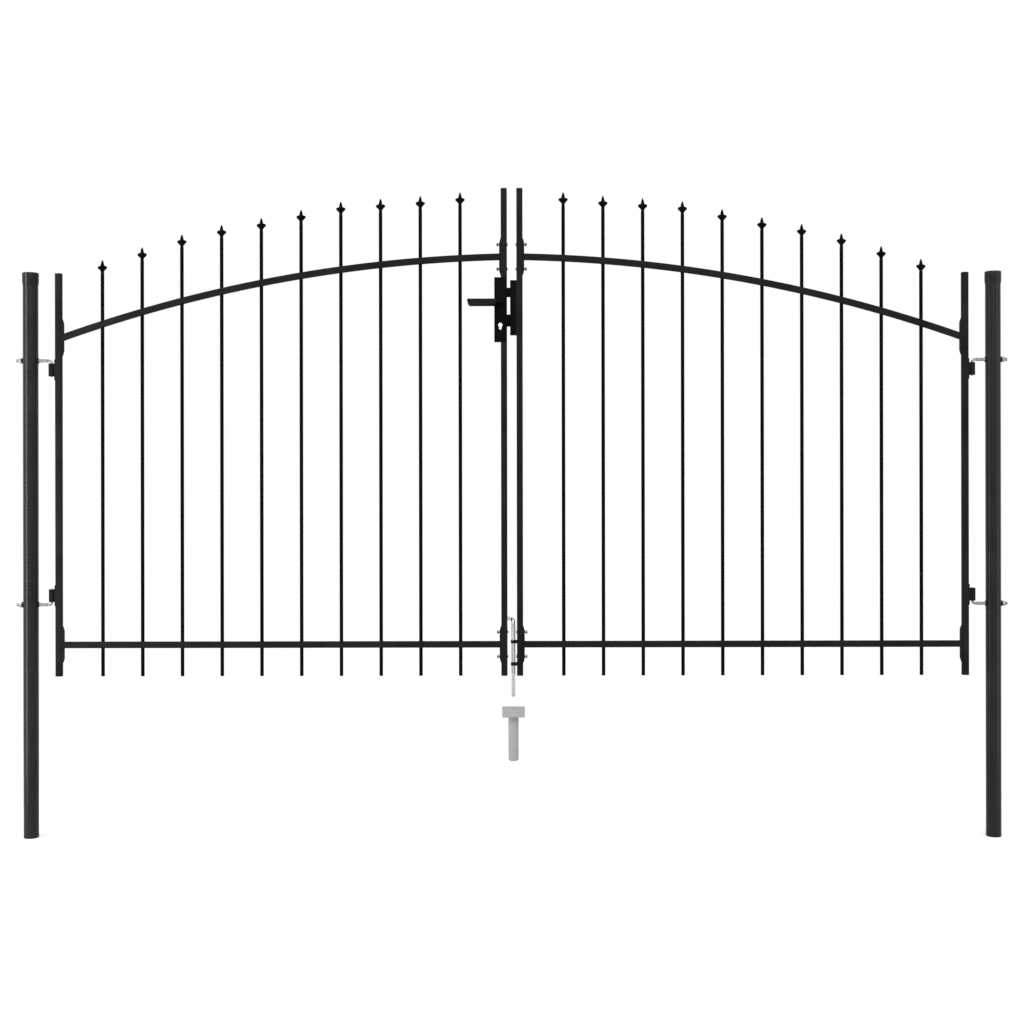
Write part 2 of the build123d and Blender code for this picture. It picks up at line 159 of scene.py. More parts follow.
def greyFinish(name):
    finish, tree, shader, place = newFinish(name)
    flow = noiseOf(tree, place, greySkin["flow"], greySkin["detail"])
    skin = noiseOf(tree, place, greySkin["grain"])
    setInputs(tree, shader, {
        "Base Color": rampOf(tree, flow, greySkin["shades"]),
        "Roughness": rangeOf(tree, skin, *greySkin["rough"]),
        "Normal": bumpOf(tree, skin, greySkin["bump"], greySkin["deep"]),
        "Specular IOR Level": greySkin["gloss"],
    })
    return finish


greyMoulding = greyFinish("greyMoulding")
print("finishes made")


# mesh makers
def inMetres(x, y, z):
    return Vector((x, y, z)) * mm


def meshFrom(name, points, faces):
    mesh = bpy.data.meshes.new(name)
    mesh.from_pydata([tuple(point) for point in points], [], faces)
    work = bmesh.new()
    work.from_mesh(mesh)
    bmesh.ops.remove_doubles(work, verts=work.verts, dist=1e-7)
    bmesh.ops.recalc_face_normals(work, faces=work.faces)
    work.to_mesh(mesh)
    work.free()
    return mesh


# rings of equal count joined in order; a ring of one point is a pole
def ringMesh(name, rings, closed=False):
    points, faces, starts = [], [], []
    for ring in rings:
        starts.append(len(points))
        points += ring
    pairs = list(zip(range(len(rings) - 1), range(1, len(rings))))
    if closed:
        pairs.append((len(rings) - 1, 0))
    for low, high in pairs:
        countLow, countHigh = len(rings[low]), len(rings[high])
        count = max(countLow, countHigh)
        for step in range(count):
            after = (step + 1) % count
            corners = [starts[low] + step % countLow, starts[low] + after % countLow]
            corners += [starts[high] + after % countHigh, starts[high] + step % countHigh]
            faces.append(list(dict.fromkeys(corners)))
    return meshFrom(name, points, faces)


def circle(radius, count):
    angles = [fullTurn * i / count for i in range(count)]
    return [(radius * math.cos(angle), radius * math.sin(angle)) for angle in angles]


# a ring about z; spotAt gives the radius and level for an angle
def shapedRing(count, spotAt):
    ring = []
    for i in range(count):
        angle = fullTurn * i / count
        radius, level = spotAt(angle)
        ring.append(inMetres(radius * math.cos(angle), radius * math.sin(angle), level))
    return ring


# a turned piece about a vertical line; profile is (radius, level), and radius 0 is a pole
def turned(name, x, profile, count=96, closed=False):
    rings = []
    for radius, level in profile:
        if radius == 0:
            rings.append([inMetres(x, 0, level)])
        else:
            rings.append([inMetres(x + a, b, level) for a, b in circle(radius, count)])
    return ringMesh(name, rings, closed)


# corner-rounded square outline, corners first to last round the section
def softSquare(half, corner, steps=5):
    outline = []
    for turn, (a, b) in enumerate(((1, 1), (-1, 1), (-1, -1), (1, -1))):
        for step in range(steps + 1):
            angle = quarterTurn * (turn + step / steps)
            x = (half - corner) * a + corner * math.cos(angle)
            y = (half - corner) * b + corner * math.sin(angle)
            outline.append((x, y))
    return outline


# a bar of one section along stations (middle, side, up), with flat ends
def sweptBar(name, outline, stations):
    rings = []
    for middle, side, up in stations:
        rings.append([(middle + side * a + up * b) * mm for a, b in outline])
    return ringMesh(name, [[stations[0][0] * mm]] + rings + [[stations[-1][0] * mm]])


# a round rod along a path of points, with a radius for each
def roundRod(name, path, radii, count=32):
    rings = []
    side = None
    for index, point in enumerate(path):
        before, after = path[max(index - 1, 0)], path[min(index + 1, len(path) - 1)]
        along = (after - before).normalized()
        if side is None:
            side = along.orthogonal().normalized()
        side = (side - along * side.dot(along)).normalized()
        up = along.cross(side)
        rings.append([(point + side * a + up * b) * mm for a, b in circle(radii[index], count)])
    return ringMesh(name, [[path[0] * mm]] + rings + [[path[-1] * mm]])


# path points round a square corner with a bend
def bendPath(start, corner, end, bend, steps=14):
    first, second = (corner - start).normalized(), (end - corner).normalized()
    centre = corner - first * bend + second * bend
    path = [start]
    for step in range(steps + 1):
        angle = quarterTurn * step / steps
        path.append(centre + first * bend * math.sin(angle) - second * bend * math.cos(angle))
    return path + [end]


# path and radii with small chamfers put on at both ends
def chamferEnds(path, radius, edge):
    first = (path[1] - path[0]).normalized() * edge
    last = (path[-1] - path[-2]).normalized() * edge
    newPath = [path[0], path[0] + first] + path[1:-1] + [path[-1] - last, path[-1]]
    return newPath, [radius - edge] + [radius] * (len(newPath) - 2) + [radius - edge]


def joinMeshes(name, meshes):
    work = bmesh.new()
    for mesh in meshes:
        work.from_mesh(mesh)
    joined = bpy.data.meshes.new(name)
    work.to_mesh(joined)
    work.free()
    return joined


# the evaluated mesh of an object, which is then removed with its modifiers
def plainMesh(holder, name):
    graph = bpy.context.evaluated_depsgraph_get()
    mesh = bpy.data.meshes.new_from_object(holder.evaluated_get(graph))
    mesh.name = name
    bpy.data.objects.remove(holder)
    return mesh


# a bevelled copy of a mesh, hard edges only
def softened(mesh, edge, steps=3, angle=28):
    holder = bpy.data.objects.new(mesh.name, mesh)
    scene.collection.objects.link(holder)
    bevel = holder.modifiers.new("softEdge", "BEVEL")
    bevel.width = edge * mm
    bevel.segments = steps
    bevel.limit_method = "ANGLE"
    bevel.angle_limit = math.radians(angle)
    return plainMesh(holder, mesh.name)


# a merged copy of a node's mesh with its flat faces whole again
def nodeCopy(name):
    work = bmesh.new()
    work.from_mesh(nodes[name].data)
    bmesh.ops.remove_doubles(work, verts=work.verts, dist=1e-6)
    bmesh.ops.dissolve_limit(work, angle_limit=math.radians(1), verts=work.verts, edges=work.edges)
    mesh = bpy.data.meshes.new(name + "Copy")
    work.to_mesh(mesh)
    work.free()
    mesh.materials.clear()
    return mesh


# two finishes on one mesh, the second where inSecond says so of a face
def splitFinish(mesh, first, second, inSecond):
    mesh.materials.append(first)
    mesh.materials.append(second)
    for face in mesh.polygons:
        face.material_index = 1 if inSecond(face) else 0


def pieceName(node):
    first, *others = node.split("_")
    return first + "".join(word.capitalize() for word in others)


def addPiece(name, mesh, body, finish, replaced=(), sharp=32):
    if len(mesh.materials) == 0:
        mesh.materials.append(finish)
    mesh.shade_smooth()
    mesh.set_sharp_from_angle(angle=math.radians(sharp))
    piece = bpy.data.objects.new(name, mesh)
    scene.collection.objects.link(piece)
    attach(piece, body)
    if replaced:
        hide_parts(*replaced)


# a node's own shape with softened edges takes the node's place
def addSoftNode(node, edge, body, finish, steps=3, name=None):
    mesh = softened(nodeCopy(node), edge, steps)
    addPiece(name or pieceName(node), mesh, body, finish, [node])


# geometry trees for what repeats
def openTree(name, inputs):
    tree = bpy.data.node_groups.new(name, "GeometryNodeTree")
    tree.interface.new_socket("Places", in_out="INPUT", socket_type="NodeSocketGeometry")
    for title, kind in inputs:
        tree.interface.new_socket(title, in_out="INPUT", socket_type=kind)
    tree.interface.new_socket("Geometry", in_out="OUTPUT", socket_type="NodeSocketGeometry")
    return tree, addNode(tree, "NodeGroupInput").outputs, addNode(tree, "NodeGroupOutput")


def attributeOf(tree, name, kind):
    attribute = addNode(tree, "GeometryNodeInputNamedAttribute", {"Name": name}, data_type=kind)
    return attribute.outputs["Attribute"]


def realOf(tree, geometry):
    return addNode(tree, "GeometryNodeRealizeInstances", {"Geometry": geometry}).outputs["Geometry"]


def closeTree(tree, geometry, finish, end):
    coated = {"Geometry": realOf(tree, geometry), "Material": finish}
    done = addNode(tree, "GeometryNodeSetMaterial", coated).outputs["Geometry"]
    tree.links.new(done, end.inputs["Geometry"])


def standOn(tree, places, piece, **others):
    inputs = {"Points": places, "Instance": piece, **others}
    return addNode(tree, "GeometryNodeInstanceOnPoints", inputs).outputs["Instances"]


# a round bar stands on each place, as tall as the place's barLength
def makeBarTree():
    inputs = [("Radius", "NodeSocketFloat"), ("Sides", "NodeSocketInt"), ("Finish", "NodeSocketMaterial")]
    tree, given, end = openTree("picketBars", inputs)
    spine = addNode(tree, "GeometryNodeCurvePrimitiveLine", {"End": (0, 0, 1)}).outputs["Curve"]
    tall = {"X": 1.0, "Y": 1.0, "Z": attributeOf(tree, "barLength", "FLOAT")}
    stretch = addNode(tree, "ShaderNodeCombineXYZ", tall).outputs["Vector"]
    stood = realOf(tree, standOn(tree, given["Places"], spine, Scale=stretch))
    even = {"Curve": stood, "Radius": 1.0}  # undoes the stretch
    spines = addNode(tree, "GeometryNodeSetCurveRadius", even).outputs["Curve"]
    outline = {"Radius": given["Radius"], "Resolution": given["Sides"]}
    section = addNode(tree, "GeometryNodeCurvePrimitiveCircle", outline).outputs["Curve"]
    swept = {"Curve": spines, "Profile Curve": section, "Fill Caps": True}
    bars = addNode(tree, "GeometryNodeCurveToMesh", swept).outputs["Mesh"]
    closeTree(tree, bars, given["Finish"], end)
    return tree


# a copy of one made piece on each place, turned by the place's turn
def makeCopyTree():
    inputs = [("Piece", "NodeSocketObject"), ("Finish", "NodeSocketMaterial")]
    tree, given, end = openTree("copiesOnPlaces", inputs)
    source = addNode(tree, "GeometryNodeObjectInfo", {"Object": given["Piece"], "As Instance": True})
    angles = attributeOf(tree, "turn", "FLOAT_VECTOR")
    turn = addNode(tree, "FunctionNodeEulerToRotation", {"Euler": angles}).outputs["Rotation"]
    copies = standOn(tree, given["Places"], source.outputs["Geometry"], Rotation=turn)
    closeTree(tree, copies, given["Finish"], end)
    return tree


barTree, copyTree = makeBarTree(), makeCopyTree()


def runTree(name, tree, places, values, lengths=None, turns=None):
    mesh = bpy.data.meshes.new(name + "Places")
    mesh.from_pydata([tuple(place) for place in places], [], [])
    if lengths:
        mesh.attributes.new("barLength", "FLOAT", "POINT").data.foreach_set("value", lengths)
    if turns:
        flat = [angle for turn in turns for angle in turn]
        mesh.attributes.new("turn", "FLOAT_VECTOR", "POINT").data.foreach_set("vector", flat)
    holder = bpy.data.objects.new(name, mesh)
    scene.collection.objects.link(holder)
    modifier = holder.modifiers.new(name, "NODES")
    modifier.node_group = tree
    sockets = {item.name: item.identifier for item in tree.interface.items_tree if item.in_out == "INPUT"}
    for title, value in values.items():
        modifier[sockets[title]] = value
    return plainMesh(holder, name)


def copiesOf(name, mesh, places, turns, finish):
    source = bpy.data.objects.new(name + "Source", mesh)
    scene.collection.objects.link(source)
    made = runTree(name, copyTree, places, {"Piece": source, "Finish": finish}, turns=turns)
    bpy.data.objects.remove(source)
    return made


# posts and caps
post = {"radius": 23, "wall": 1.5, "height": 1730, "edge": 0.5}
cap = {"radius": 24.85, "crown": 1734, "skirt": 1702, "hem": 1694, "dome": 2.2, "bore": 23.15}
cap |= {"gap": 0.2, "lip": 0.5, "taper": 1.5, "shoulder": 2, "steps": 6}
postLines = {"left": 0, "right": 2954}


def postProfile():
    inner, outer = post["radius"] - post["wall"], post["radius"]
    edge, high = post["edge"], post["height"]
    profile = [(inner, 0), (outer - edge, 0), (outer, edge)]
    return profile + [(outer, high - edge), (outer - edge, high), (inner, high)]


def capProfile():
    bore, hem, outer, skirt = cap["bore"], cap["hem"], cap["radius"], cap["skirt"]
    roof = post["height"] + cap["gap"]
    brow, inset = cap["crown"] - cap["dome"] - cap["shoulder"], outer - cap["shoulder"]
    profile = [(0, roof), (bore, roof), (bore, hem), (bore + cap["lip"], hem)]
    profile += [(outer - cap["lip"], skirt - cap["taper"]), (outer, skirt), (outer, brow)]
    for step in range(1, cap["steps"] + 1):  # rounded shoulder
        angle = quarterTurn * step / cap["steps"]
        profile.append((inset + cap["shoulder"] * math.cos(angle), brow + cap["shoulder"] * math.sin(angle)))
    for share in (0.75, 0.5, 0.25):  # low crown
        profile.append((share * inset, cap["crown"] - cap["dome"] * share**2))
    return profile + [(0, cap["crown"])]


for word, x in postLines.items():
    mesh = turned(f"{word}PostTube", x, postProfile(), closed=True)
    addPiece(f"{word}PostTube", mesh, "posts", postCoat, [f"{word}_post"])
    mesh = turned(f"{word}Cap", x, capProfile())
    addPiece(f"{word}Cap", mesh, "posts", capMoulding, [f"{word}_post_cap"])
print("posts and caps made")

# hook bolts: shank threaded at its outer end, plain hook
hook = {"shank": 5, "pin": 4, "bend": 8, "overlap": 2, "end": 1.0, "endLong": 1.0, "pinEnd": 0.8}
hook |= {"pitch": 1.5, "depth": 0.6, "flank": 1.5, "threaded": 36, "runIn": 2, "runOut": 1.5}
hook |= {"perPitch": 6, "sides": 24}
hookRows = {"upper": (1461.9, 1412.5), "lower": (713.6, 763.0)}  # shank level, pin's end
hookLines = {"left": (-43, 52, 64), "right": (2997, 2902, 2890)}  # outer end, step, pin


def threadedShank(name, outer, step, level):
    way = 1 if step > outer else -1
    length, pitch = abs(step - outer), hook["pitch"]
    rings = [[inMetres(outer, 0, level)]]
    total = int(length / pitch * hook["perPitch"])
    for index in range(total + 1):
        along = length * index / total
        fade = max(0, min(1, along / hook["runIn"], (hook["threaded"] - along) / hook["runOut"]))
        chamfer = (1 - min(1, along / hook["endLong"])) * hook["end"]
        ring = []
        for i in range(hook["sides"]):
            angle = fullTurn * i / hook["sides"]
            wave = abs(((along / pitch + angle / fullTurn) % 1) * 2 - 1)
            cut = hook["depth"] * (1 - min(1, wave * hook["flank"])) * fade
            radius = hook["shank"] - cut - chamfer
            y, z = radius * math.cos(angle), radius * math.sin(angle)
            ring.append(inMetres(outer + way * along, y, level + z))
        rings.append(ring)
    rings.append([inMetres(step, 0, level)])
    return ringMesh(name, rings)


for word, (outer, step, pin) in hookLines.items():
    for row, (level, tail) in hookRows.items():
        name = f"{word}{row.capitalize()}Hook"
        way = 1 if step > outer else -1
        start, corner = Vector((step - way * hook["overlap"], 0, level)), Vector((pin, 0, level))
        path = bendPath(start, corner, Vector((pin, 0, tail)), hook["bend"])
        path, radii = chamferEnds(path, hook["pin"], hook["pinEnd"])
        mesh = joinMeshes(name, [threadedShank(name, outer, step, level), roundRod(name, path, radii)])
        addPiece(name, mesh, "posts", zincPlate, [f"{word}_{row}_hinge_bolt"], sharp=50)
print("hook bolts made")

# nuts: hexagon with turned chamfers, axis along +z from its seat
nutEdge = {"levels": (0, 0.3, 0.7, 1.2), "face": 0.97, "slope": 1.7, "count": 48}


def hexNut(name, flats, thick, bore):
    inner, sixth = flats / 2, math.pi / 3
    levels = [*nutEdge["levels"], *(thick - level for level in reversed(nutEdge["levels"]))]

    def hexSpot(angle, level):
        limit = inner * nutEdge["face"] + min(level, thick - level) * nutEdge["slope"]
        fold = (angle + sixth / 2) % sixth - sixth / 2
        return min(inner / math.cos(fold), limit), level

    rings = [[inMetres(a, b, 0) for a, b in circle(bore, nutEdge["count"])]]
    for level in levels:
        rings.append(shapedRing(nutEdge["count"], lambda angle: hexSpot(angle, level)))
    rings.append([inMetres(a, b, thick) for a, b in circle(bore, nutEdge["count"])])
    return ringMesh(name, rings, closed=True)


nut = {"flats": 16, "thick": 8, "bore": 4.6, "seat": 26.5}
saddle = {"edge": 0.8, "steps": 2}
postNut = hexNut("postNut", nut["flats"], nut["thick"], nut["bore"])
for word, x in postLines.items():
    way = -1 if word == "left" else 1
    places = [inMetres(x + way * nut["seat"], 0, level) for level, tail in hookRows.values()]
    turns = [(0, way * quarterTurn, 0)] * len(places)
    mesh = copiesOf(f"{word}Nuts", postNut, places, turns, zincPlate)
    addPiece(f"{word}Nuts", mesh, "posts", zincPlate, [f"{word}_hinge_nuts"])
    washers, name = f"{word}_hinge_washers", f"{word}Saddles"
    addSoftNode(washers, saddle["edge"], "posts", blackMoulding, saddle["steps"], name)
print("nuts and saddles made")

# ground socket: lipped square head, round stem, open bore
socket = {"x": 1480.5, "half": 35, "corner": 2.2, "top": 394, "under": 370, "stem": 16, "foot": 233}
socket |= {"bore": 8.5, "floor": 284, "steps": 12}  # steps: points to a quarter turn, square and round alike


def socketMesh(name):
    middle, steps = socket["x"], socket["steps"]
    turns = [quarterTurn * (spot + 0.5) / steps for spot in range(4 * steps)]

    def square(half, level):
        outline = softSquare(half, socket["corner"], steps - 1)
        return [inMetres(middle + a, b, level) for a, b in outline]

    def disc(radius, level):
        spots = [(radius * math.cos(angle), radius * math.sin(angle)) for angle in turns]
        return [inMetres(middle + a, b, level) for a, b in spots]

    half, top, under = socket["half"], socket["top"], socket["under"]
    stem, foot, bore = socket["stem"], socket["foot"], socket["bore"]
    rings = [[inMetres(middle, 0, socket["floor"])], disc(bore, socket["floor"])]
    rings += [disc(bore, top - 2), disc(bore + 0.6, top - 0.6), disc(bore + 1.6, top)]  # eased mouth
    rings += [square(half - 1.2, top), square(half - 0.4, top - 0.4), square(half, top - 1.2)]  # soft lip
    rings += [square(half, top - 6.6), square(half - 0.7, top - 7.0)]  # groove under the lip
    rings += [square(half - 0.7, top - 7.8), square(half - 0.2, top - 8.2)]
    rings += [square(half - 0.4, under + 1.5), square(half - 1.9, under)]  # soft lower edge
    rings += [disc(stem + 1.5, under), disc(stem + 0.5, under - 0.6), disc(stem, under - 2)]  # fillet
    rings += [disc(stem - 0.4, foot + 5), disc(stem - 1.4, foot + 2.6), disc(stem - 4.5, foot)]  # soft foot
    rings.append([inMetres(middle, 0, foot)])
    return ringMesh(name, rings)


mesh = socketMesh("groundSocket")
addPiece("groundSocket", mesh, "posts", greyMoulding, ["ground_socket"])
print("ground socket made")

# leaves
leaf = {"middle": 1477, "tube": 9.5, "corner": 2.2}
leaf["faces"] = {"left": 1462.5, "right": 1491.5}  # the meeting stiles' faces across the gap
picket = {"radius": 5.5, "sides": 28, "first": 158.25, "pitch": 122}
stileRows = {  # node: body, x, spans of z
    "left_hinge_stile": ("left_leaf", 86.5, [(497, 1727)]),
    "left_lock_stile": ("left_leaf", 1453, [(497, 1518), (1715, 1986)]),
    "right_hinge_stile": ("right_leaf", 2867.5, [(497, 1727)]),
    "right_meeting_stile": ("right_leaf", 1501, [(497, 1986)]),
}
tubeOutline = softSquare(leaf["tube"], leaf["corner"])
across, deep = Vector((1, 0, 0)), Vector((0, 1, 0))
for node, (body, x, spans) in stileRows.items():
    name = pieceName(node)
    parts = []
    for span in spans:
        stations = [(Vector((x, 0, level)), across, deep) for level in span]
        parts.append(sweptBar(node, tubeOutline, stations))
    addPiece(name + "Tube", joinMeshes(name, parts), body, tubeCoat, [node])
print("stiles made")

rail = {"start": 38.5, "end": 1376, "startLevel": 1779, "endLevel": 1534, "radius": 4300}
rail |= {"bottom": 590, "steps": 72}
run, fall = rail["end"] - rail["start"], rail["startLevel"] - rail["endLevel"]
chord = math.hypot(run, fall)
leg = math.sqrt(rail["radius"] ** 2 - chord**2 / 4)
arcReach = (rail["start"] + rail["end"]) / 2 - leg * fall / chord
arcLevel = (rail["startLevel"] + rail["endLevel"]) / 2 - leg * run / chord


def archLevel(reach):
    return arcLevel + math.sqrt(rail["radius"] ** 2 - (reach - arcReach) ** 2)


def archSlope(reach):
    return -(reach - arcReach) / math.sqrt(rail["radius"] ** 2 - (reach - arcReach) ** 2)


def bottomLevel(reach):
    return rail["bottom"]


def bottomSlope(reach):
    return 0


# stations along a rail; the end sections stay upright so that they meet their plates
def railStations(side, level, slope):
    stations = []
    for step in range(rail["steps"] + 1):
        reach = rail["start"] + run * step / rail["steps"]
        stretch = math.hypot(1, slope(reach))  # upright section of a tilted tube
        middle = Vector((leaf["middle"] + side * reach, 0, level(reach)))
        stations.append((middle, deep, Vector((0, 0, stretch))))
    return stations


# middle, foot and head of each bar in metres, from the corners of its own node
def barsOf(node):
    found = {}
    for vertex in nodes[node].data.vertices:
        reach = abs(vertex.co.x / mm - leaf["middle"])
        found.setdefault(round((reach - picket["first"]) / picket["pitch"]), []).append(vertex.co)
    bars = []
    for spots in found.values():
        xs, zs = [spot.x for spot in spots], [spot.z for spot in spots]
        bars.append(((min(xs) + max(xs)) / 2, min(zs), max(zs)))
    return sorted(bars)


# spear tip: four lobes on a round point, foot at z 0; core and ear are (level, radius)
tip = {"height": 45, "count": 40, "lobes": 4, "power": 2.0}
tip["core"] = [(0, 5.5), (2, 5.35), (5, 5.05), (9, 5.0), (13, 5.3), (20, 5.6), (27, 5.5)]
tip["core"] += [(29, 5.3), (32, 4.9), (36, 4.1), (40, 2.9), (43, 1.7), (44.4, 0.9)]
tip["ear"] = [(9, 5.0), (12, 6.6), (15, 9.3), (18, 12.6), (20, 14.1), (21.8, 14.6)]
tip["ear"] += [(23.6, 14.2), (25.2, 12.9), (26.4, 10.8), (27.2, 8.2), (28.2, 5.4)]
tip["between"] = {10.5, 13.5, 16.5, 19, 24.4, 30.5, 34, 38, 41.5}  # more levels for smooth flanks


def valueAt(table, level):
    if level <= table[0][0]:
        return table[0][1]
    for (lowLevel, low), (highLevel, high) in zip(table, table[1:]):
        if level <= highLevel:
            return low + (high - low) * (level - lowLevel) / (highLevel - lowLevel)
    return table[-1][1]


def spearMesh(name):
    levels = sorted({level for level, radius in tip["core"] + tip["ear"]} | tip["between"])
    earFoot, earHead = tip["ear"][0][0], tip["ear"][-1][0]

    def lobeSpot(angle, level):
        core = valueAt(tip["core"], level)
        ear = max(valueAt(tip["ear"], level), core) if earFoot < level < earHead else core
        lobe = (0.5 + 0.5 * math.cos(tip["lobes"] * angle)) ** tip["power"]
        return core + (ear - core) * lobe, level

    rings = [[inMetres(0, 0, 0)]]
    for level in levels:
        rings.append(shapedRing(tip["count"], lambda angle: lobeSpot(angle, level)))
    rings.append([inMetres(0, 0, tip["height"])])
    return ringMesh(name, rings)


# weld bead round a picket, foot sunk a little into the tube's face
bead = {"inner": 5.2, "outer": 7.4, "high": 1.7, "sink": 0.2, "fall": 1.6, "count": 32}
bead["ripples"] = [(0.09, 9, 0), (0.05, 4, 1)]  # share, waves to a turn, start


def beadMesh(name):
    def beadSpot(angle, share):
        ripple = 1
        for size, waves, start in bead["ripples"]:
            ripple += size * math.sin(waves * angle + start)
        radius = bead["inner"] + (bead["outer"] - bead["inner"]) * share * ripple
        return radius, bead["high"] * ripple * (1 - share ** bead["fall"]) - bead["sink"]

    rings = []
    for share in (0, 0.25, 0.5, 0.75, 1):
        rings.append(shapedRing(bead["count"], lambda angle: beadSpot(angle, share)))
    rings.append(shapedRing(bead["count"], lambda angle: (bead["inner"], -bead["sink"])))
    return ringMesh(name, rings, closed=True)


softRows = {  # node of a leaf: softened edge, finish, slot
    "end_plates": (0.9, tubeCoat, "black_powder_coat"),
    "hinge_eyes": (0.6, tubeCoat, "black_powder_coat"),
    "stile_plugs": (1.1, blackMoulding, "black_plastic"),
}
spear, weld = spearMesh("spear"), beadMesh("weldBead")
for word, side in (("left", -1), ("right", 1)):
    body = f"{word}_leaf"
    mesh = sweptBar(f"{word}Arch", tubeOutline, railStations(side, archLevel, archSlope))
    addPiece(f"{word}Arch", mesh, body, tubeCoat, [f"{word}_top_rail"])
    mesh = sweptBar(f"{word}BottomRail", tubeOutline, railStations(side, bottomLevel, bottomSlope))
    addPiece(f"{word}BottomRail", mesh, body, tubeCoat, [f"{word}_bottom_rail"])

    bars = barsOf(f"{word}_pickets")
    places = [(x, 0, low) for x, low, high in bars]
    values = {"Radius": picket["radius"] * mm, "Sides": picket["sides"], "Finish": barCoat}
    mesh = runTree(f"{word}Pickets", barTree, places, values, lengths=[high - low for x, low, high in bars])
    addPiece(f"{word}Pickets", mesh, body, barCoat, [f"{word}_pickets"])

    places = [(x, 0, high) for x, low, high in bars]
    mesh = copiesOf(f"{word}Spears", spear, places, [(0, 0, 0)] * len(places), barCoat)
    addPiece(f"{word}Spears", mesh, body, barCoat, [f"{word}_spear_tips"], sharp=60)

    places, turns = [], []
    for x, low, high in bars:  # a bead over and under each rail
        reach = abs(x / mm - leaf["middle"])
        for level, slope in ((archLevel(reach), archSlope(reach) * side), (rail["bottom"], 0)):
            tilt = math.atan(slope)
            half = leaf["tube"] * math.hypot(1, slope)
            places += [(x, 0, (level + half) * mm), (x, 0, (level - half) * mm)]
            turns += [(0, -tilt, 0), (math.pi, -tilt, 0)]
    mesh = copiesOf(f"{word}Welds", weld, places, turns, tubeCoat)
    addPiece(f"{word}Welds", mesh, body, tubeCoat, sharp=60)

    for node, (edge, finish, slotName) in softRows.items():
        addSoftNode(f"{word}_{node}", edge, body, finish)
print("leaves made")

# panel bolts at the meeting ends: dome head in the gap, nut on the panel side
panelBolt = {"shank": 3, "dome": 5.4, "domeHigh": 2.8, "grip": 24, "stand": 3, "spread": 37.5}
panelBolt |= {"flats": 10, "thick": 5, "press": 0.2, "nutRise": 0.4}
panelBolt |= {"proud": 0.6, "chamfer": 0.7, "chamferLong": 0.8, "sides": 32}


def panelBoltMesh(name):
    shank = panelBolt["shank"]
    profile = [(0, panelBolt["domeHigh"])]
    for share in (0.3, 0.55, 0.78, 0.93, 1.0):
        profile.append((panelBolt["dome"] * share, panelBolt["domeHigh"] * math.sqrt(1 - share**2)))
    tail = -panelBolt["grip"] - panelBolt["stand"] - panelBolt["thick"]
    tailEnd = tail - panelBolt["proud"]
    profile += [(shank, 0), (shank, tailEnd + panelBolt["chamferLong"])]
    profile += [(shank - panelBolt["chamfer"], tailEnd), (0, tailEnd)]
    nutMesh = hexNut(name, panelBolt["flats"], panelBolt["thick"], shank - panelBolt["press"])
    nutMesh.transform(Matrix.Translation(inMetres(0, 0, tail + panelBolt["nutRise"])))
    return joinMeshes(name, [turned(name, 0, profile, panelBolt["sides"]), nutMesh])


boltMesh = panelBoltMesh("panelBolt")
boltLevels = []
for middle in (rail["startLevel"], rail["bottom"]):
    boltLevels += [middle - panelBolt["spread"], middle + panelBolt["spread"]]
for word, side in (("left", -1), ("right", 1)):
    places = [inMetres(leaf["faces"][word], 0, level) for level in boltLevels]
    turns = [(0, -side * quarterTurn, 0)] * len(places)
    mesh = copiesOf(f"{word}PanelBolts", boltMesh, places, turns, dullZinc)
    addPiece(f"{word}PanelBolts", mesh, f"{word}_leaf", dullZinc)
print("panel bolts made")

# lock, levers, bolts and keep
keyhole = {"x": 1442, "level": 1566.1, "reach": 15.5, "across": 0.8, "along": 0.92}
lock = {"caseEdge": 0.9, "boltEdge": 0.5, "keepEdge": 0.6}
caseMesh = softened(nodeCopy("lock_case"), lock["caseEdge"])
for vertex in caseMesh.vertices:  # a lip draws the rounded keyhole in
    x, z = vertex.co.x / mm - keyhole["x"], vertex.co.z / mm - keyhole["level"]
    if max(abs(x), abs(z)) < keyhole["reach"]:
        vertex.co.x = (keyhole["x"] + x * keyhole["across"]) * mm
        vertex.co.z = (keyhole["level"] + z * keyhole["along"]) * mm
addPiece("lockCase", caseMesh, "left_leaf", lockCoat, ["lock_case"])
for node, body in (("latch_bolt", "latch"), ("dead_bolt", "dead_bolt")):
    addSoftNode(node, lock["boltEdge"], body, lockCoat)

lever = {"axis": 1442, "level": 1639.5, "heel": 9, "toe": 101, "half": 7.7, "cut": 6, "near": 24, "far": 35}
lever |= {"edge": 2.4, "bow": 26, "bowSteps": 12, "hub": 15, "heelGap": 0.3}
lever |= {"neck": 6.5, "root": 12.5, "seat": 2.5, "neckEdge": 0.3, "neckEdgeLong": 0.6, "neckSides": 40}


# corner-rounded section of the grip at x, 24 points
def gripSection(x, yLow, yHigh, zLow, zHigh, edge):
    cy, cz = (yLow + yHigh) / 2, (zLow + zHigh) / 2
    halfY, halfZ = (yHigh - yLow) / 2, (zHigh - zLow) / 2
    corner = min(edge, 0.95 * halfY, 0.95 * halfZ)
    ring = []
    for turn, (a, b) in enumerate(((1, 1), (-1, 1), (-1, -1), (1, -1))):
        for step in range(6):
            angle = quarterTurn * (turn + step / 5)
            y = cy + a * (halfY - corner) + corner * math.cos(angle)
            z = cz + b * (halfZ - corner) + corner * math.sin(angle)
            ring.append((x, y, z))
    return ring


